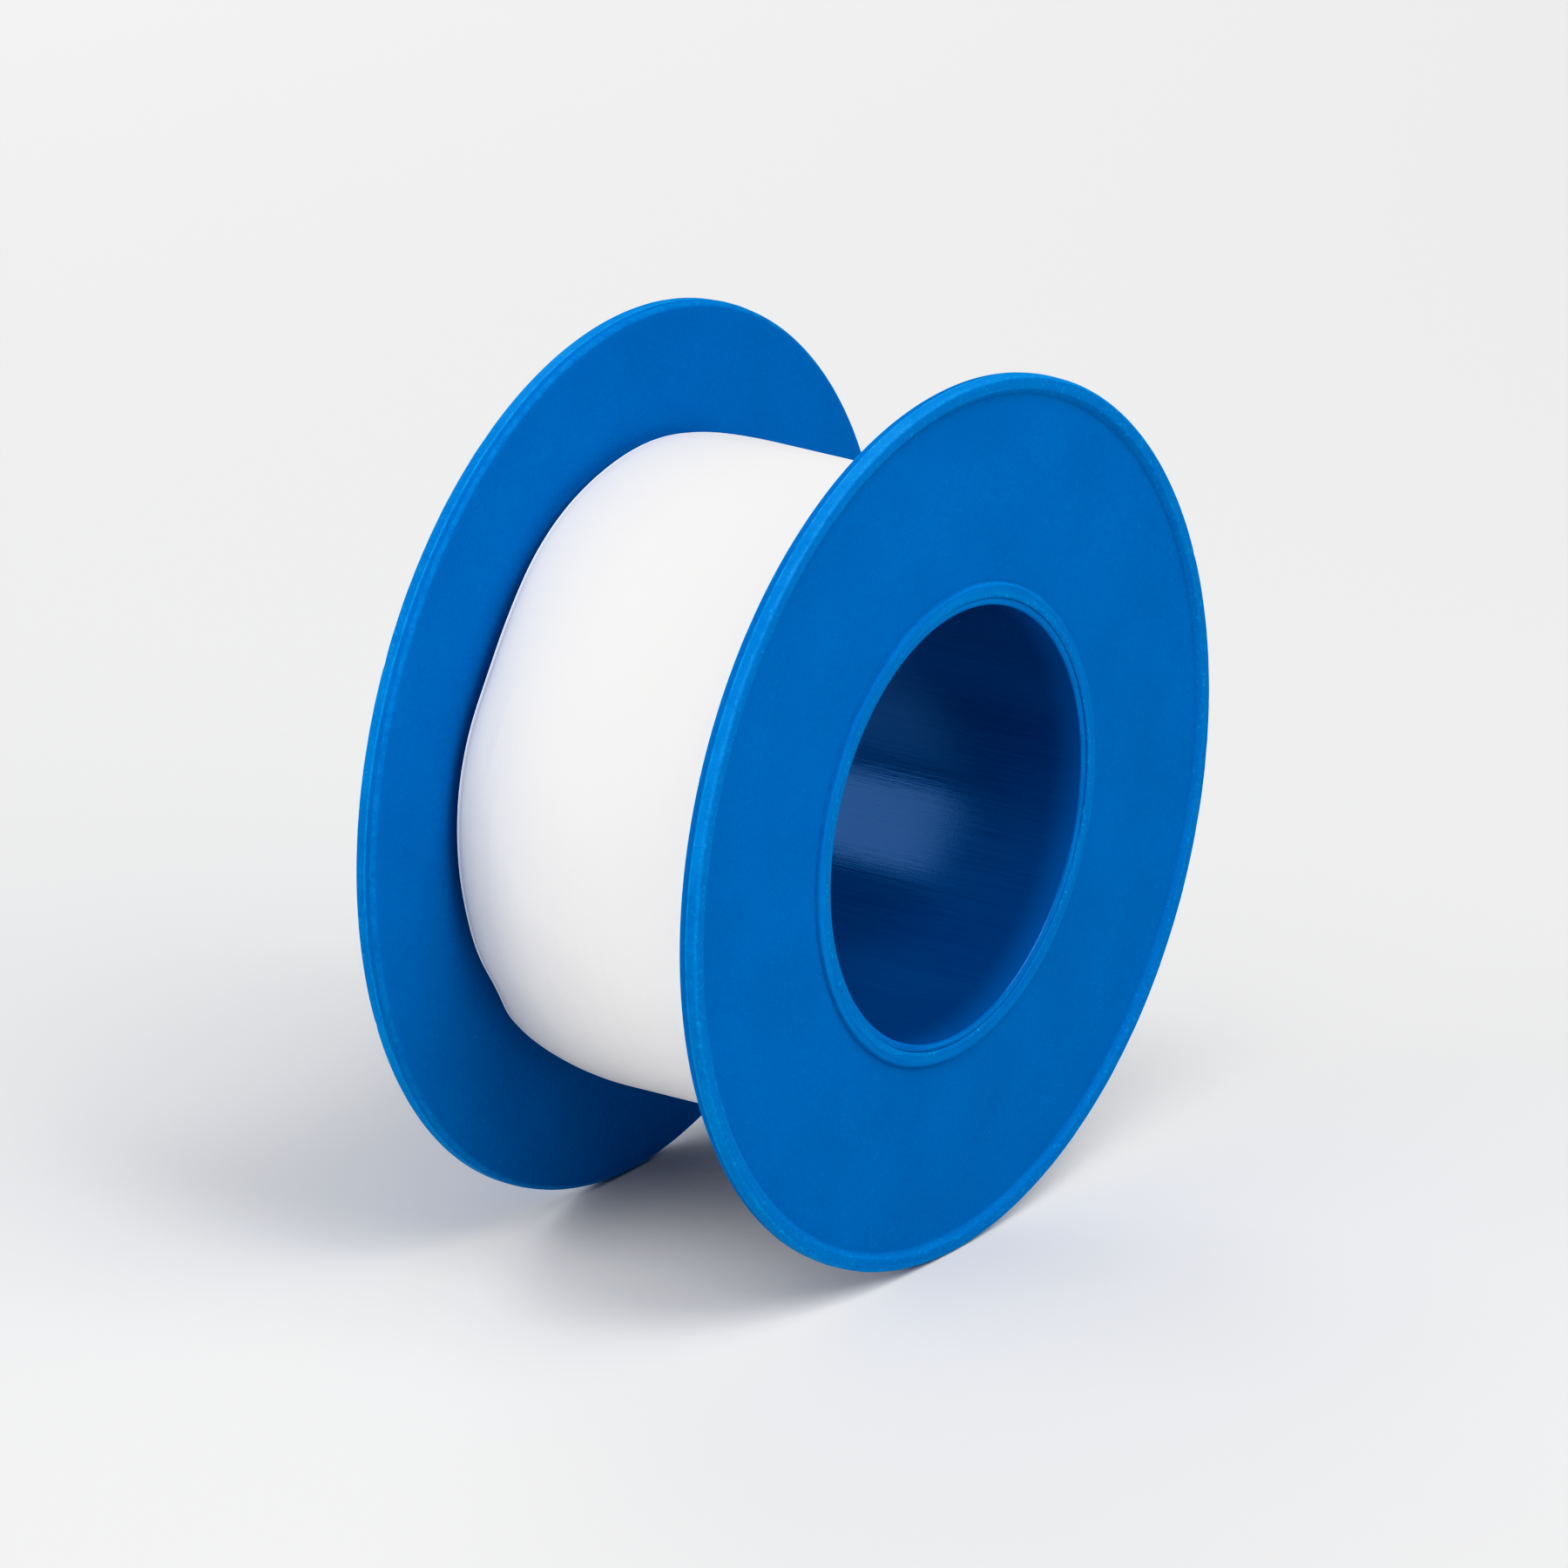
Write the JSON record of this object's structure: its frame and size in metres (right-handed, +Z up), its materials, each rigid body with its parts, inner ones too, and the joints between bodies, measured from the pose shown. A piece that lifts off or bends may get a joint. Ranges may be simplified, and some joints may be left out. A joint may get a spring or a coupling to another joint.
{
  "type": "thread seal tape roll",
  "caption": "Roll of soft white thread seal film on a blue moulded spool with beaded flanges, a raised collar round its open bore and film that turns on the hub.",
  "frame": {"origin": "middle of the spool's axis, halfway between the two flanges", "axes": "+Y along the axis towards the rear flange, +Z up with the roll standing on its two rims, +X to the right seen from the front"},
  "size_m": [0.05, 0.0228, 0.05],
  "materials": {
    "spool_plastic": "satin moulded",
    "seal_film": "soft waxy matte"
  },
  "bodies": {
    "spool": {"spool_body": "spool_plastic", "front_flange": "spool_plastic"},
    "winding": {"tape_pack": "seal_film", "tape_outer_turn": "seal_film"}
  },
  "joints": [
    {"name": "winding_turn", "type": "hinge", "parent": "spool", "child": "winding", "pos_m": [0, 0, 0], "axis": [0, 1, 0], "continuous": true}
  ]
}
